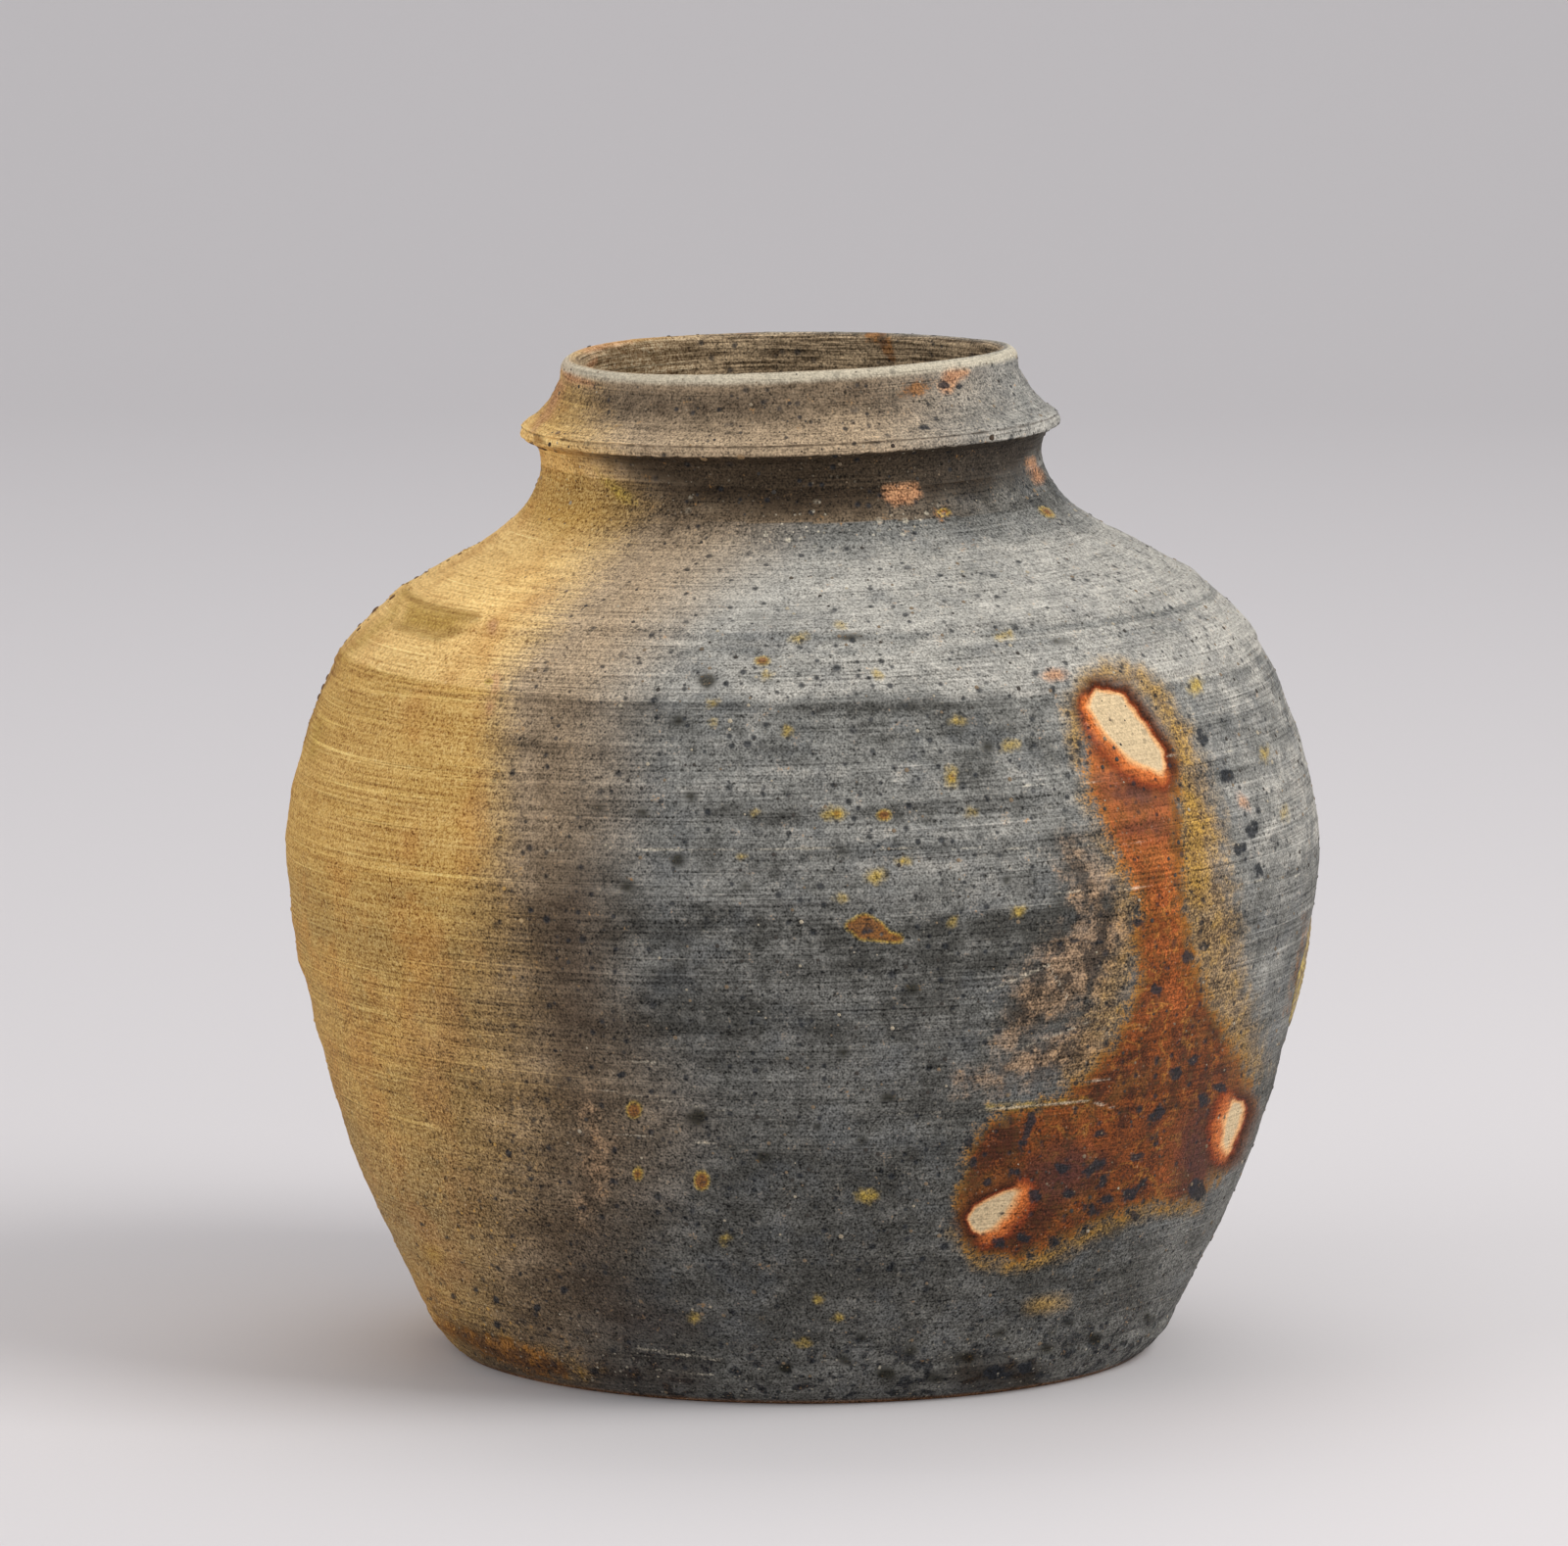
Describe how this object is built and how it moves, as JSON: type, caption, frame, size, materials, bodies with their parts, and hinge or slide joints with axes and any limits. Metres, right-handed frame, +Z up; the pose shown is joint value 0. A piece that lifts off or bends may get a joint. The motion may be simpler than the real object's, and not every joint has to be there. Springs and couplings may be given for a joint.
{
  "type": "stoneware jar",
  "caption": "Squat round wood-fired stoneware jar with sloping shoulder, short neck, sharp flange and tapering collar, built of thrown courses luted with slip.",
  "frame": {"origin": "centre of the flat foot, on the surface that the jar stands on", "axes": "+Z up; the pictured front faces -Y; the neck leans slightly to -X; the ash run is on the +X side"},
  "size_m": [0.2209, 0.22, 0.2146],
  "materials": {
    "fired_clay": "dry sandy wood-fired stoneware with ash and flame marks",
    "slip": "matt fired slip",
    "ash_glass": "crusty half-melted ash"
  },
  "bodies": {
    "root": {"base_disc": "fired_clay", "foot_course": "fired_clay", "belly_course": "fired_clay", "shoulder_course": "fired_clay", "crown_course": "fired_clay", "neck_coil": "fired_clay", "flange_coil": "fired_clay", "collar_coil": "fired_clay", "heel_slip": "slip", "flank_slip": "slip", "waist_slip": "slip", "shoulder_slip": "slip", "root_slip": "slip", "throat_slip": "slip", "flange_slip": "slip", "ash_run": "ash_glass"}
  },
  "joints": []
}
